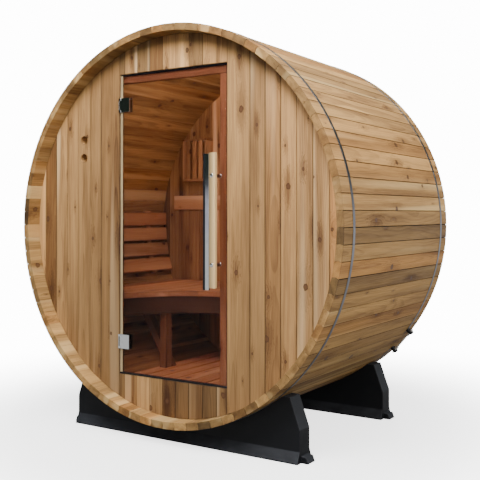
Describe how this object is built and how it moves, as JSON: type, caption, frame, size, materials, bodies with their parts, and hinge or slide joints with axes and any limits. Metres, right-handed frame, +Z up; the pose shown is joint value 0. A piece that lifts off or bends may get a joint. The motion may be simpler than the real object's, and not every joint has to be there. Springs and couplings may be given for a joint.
{
  "type": "barrel sauna",
  "caption": "Wooden barrel cabin lying on moulded cradles, with a tinted glass door in its front end wall, and a bench, backrests and slatted floor inside.",
  "frame": {"origin": "on the ground under the middle of the barrel", "axes": "+Z up, +Y along the barrel from the front end with the door to the rear end, +X to the right as seen from in front of the door"},
  "size_m": [1.8936, 1.22, 1.9797],
  "materials": {
    "stave_wood": "planed and oiled",
    "board_wood": "planed and oiled",
    "bench_wood": "planed",
    "handle_wood": "sanded and oiled",
    "band_steel": "satin",
    "tensioner_steel": "satin",
    "polished_steel": "polished",
    "tinted_glass": "clear, bronze tint",
    "moulded_plastic": "moulded"
  },
  "bodies": {
    "cabin": {"shell_01": "stave_wood", "shell_02": "stave_wood", "shell_03": "stave_wood", "shell_04": "stave_wood", "shell_05": "stave_wood", "shell_06": "stave_wood", "shell_07": "stave_wood", "shell_08": "stave_wood", "shell_09": "stave_wood", "shell_10": "stave_wood", "shell_11": "stave_wood", "shell_12": "stave_wood", "front_wall_outer_left": "board_wood", "vent_board": "board_wood", "front_wall_left": "board_wood", "front_header": "board_wood", "front_sill": "board_wood", "front_wall_right": "board_wood", "rear_wall": "board_wood", "bands": "band_steel", "tensioners": "tensioner_steel", "front_cradle": "moulded_plastic", "rear_cradle": "moulded_plastic", "door_stop_side": "bench_wood", "door_stop_head": "bench_wood", "hinge_brackets": "polished_steel", "floor_bearers": "bench_wood", "floor_boards": "bench_wood", "seat_left": "bench_wood", "seat_right": "bench_wood", "seat_rear": "bench_wood", "bench_apron": "bench_wood", "bench_cleats": "bench_wood", "bench_posts": "bench_wood", "bench_braces": "bench_wood", "backrest_left": "bench_wood", "backrest_right": "bench_wood", "backrest_bearers": "bench_wood", "back_rail": "bench_wood", "lamp_shade": "bench_wood"},
    "door": {"hinge_clamps": "polished_steel", "door_glass": "tinted_glass", "handle_grip": "handle_wood", "handle_bar": "polished_steel", "handle_standoffs": "polished_steel"}
  },
  "joints": [
    {"name": "door_hinge", "type": "hinge", "parent": "cabin", "child": "door", "pos_m": [-0.324, -0.54, 1.0425], "axis": [0, 0, -1], "range_deg": [0, 90]}
  ]
}
